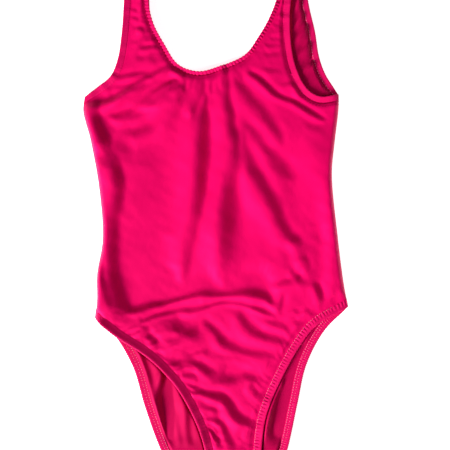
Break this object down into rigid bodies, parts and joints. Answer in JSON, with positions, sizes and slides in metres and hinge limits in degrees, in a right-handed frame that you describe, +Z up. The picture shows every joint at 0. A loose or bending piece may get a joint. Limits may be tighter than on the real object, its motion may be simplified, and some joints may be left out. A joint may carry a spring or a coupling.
{
  "type": "dance leotard",
  "caption": "Sleeveless tank leotard laid flat, with a scoop neck, high-cut legs and gathered elastic edges round its openings.",
  "frame": {"origin": "on the surface the garment lies on, at the middle of its outline", "axes": "+Y from the crotch towards the shoulder straps, +X to the right as seen from above, +Z up out of the front"},
  "size_m": [0.3301, 0.7, 0.0126],
  "materials": {
    "front_cloth": "satin stretch knit, rose pink",
    "back_cloth": "inside of the satin stretch knit, rose pink",
    "edge_cloth": "stretch knit turned over elastic, rose pink"
  },
  "bodies": {
    "root": {"front_panel": "front_cloth", "back_panel": "back_cloth", "neck_hem_front": "edge_cloth", "neck_hem_back": "edge_cloth", "armhole_hem_left_front": "edge_cloth", "armhole_hem_left_back": "edge_cloth", "armhole_hem_right_front": "edge_cloth", "armhole_hem_right_back": "edge_cloth", "leg_hem_left_front": "edge_cloth", "leg_hem_left_back": "edge_cloth", "leg_hem_right_front": "edge_cloth", "leg_hem_right_back": "edge_cloth"}
  },
  "joints": []
}
